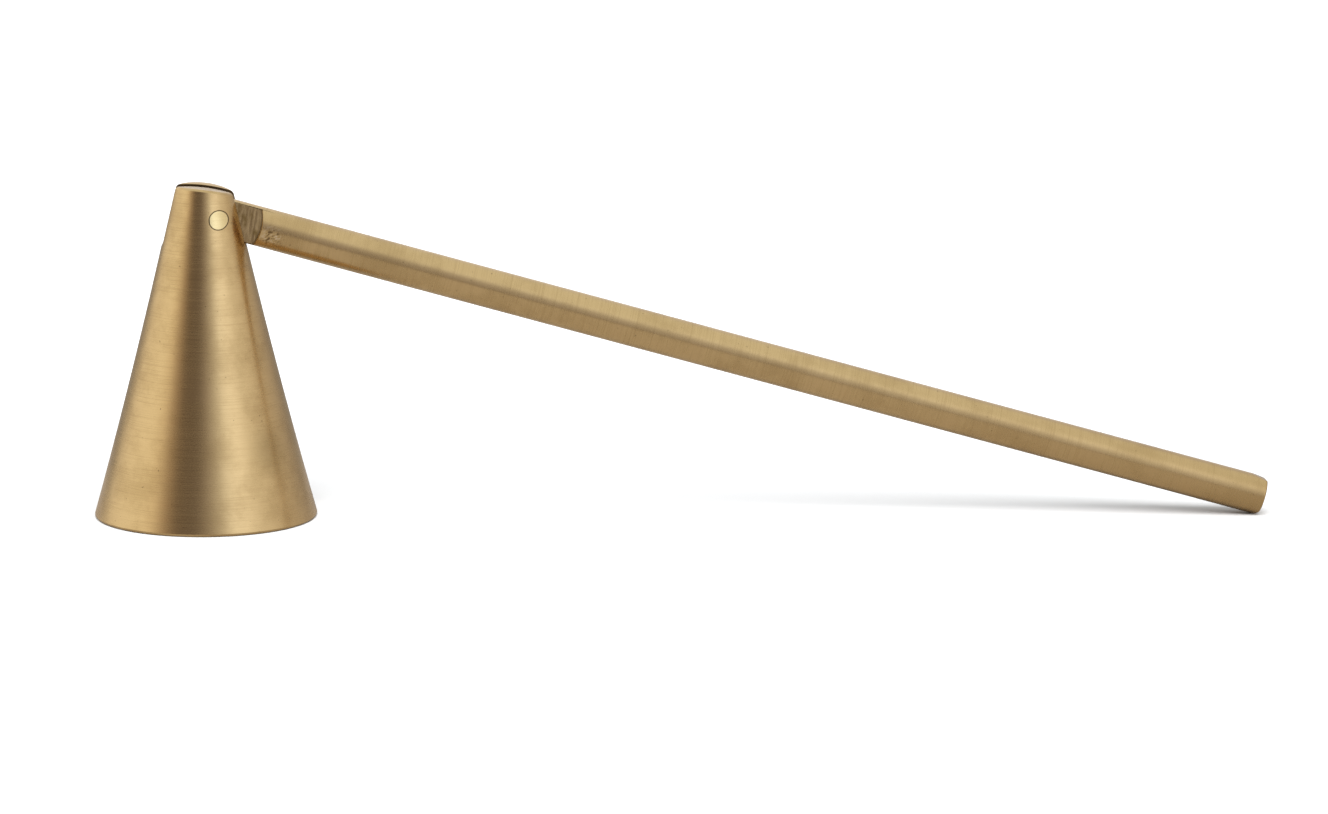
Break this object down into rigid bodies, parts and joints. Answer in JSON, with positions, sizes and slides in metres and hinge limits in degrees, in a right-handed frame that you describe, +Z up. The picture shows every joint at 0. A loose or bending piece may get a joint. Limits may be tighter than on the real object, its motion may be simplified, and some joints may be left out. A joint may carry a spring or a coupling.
{
  "type": "candle snuffer",
  "caption": "Hinged candle snuffer: a hollow brass cone with a slotted head and a round handle rod that swings on a pin through the slot.",
  "frame": {"origin": "centre of the cone's mouth, on the table that the snuffer stands on", "axes": "+Z up along the cone's axis; +X along the table towards the handle's far end; Y along the hinge pin"},
  "size_m": [0.203, 0.038, 0.0573],
  "materials": {
    "cone_brass": "brushed, aged",
    "pin_brass": "dressed flush, brighter",
    "rod_brass": "brushed, aged"
  },
  "bodies": {
    "cone": {"snuffer_cone": "cone_brass", "hinge_pin": "pin_brass"},
    "handle": {"handle_rod": "rod_brass"}
  },
  "joints": [
    {"name": "handle_hinge", "type": "hinge", "parent": "cone", "child": "handle", "pos_m": [0.0027, 0, 0.052], "axis": [0, -1, 0], "range_deg": [-2, 122]}
  ]
}
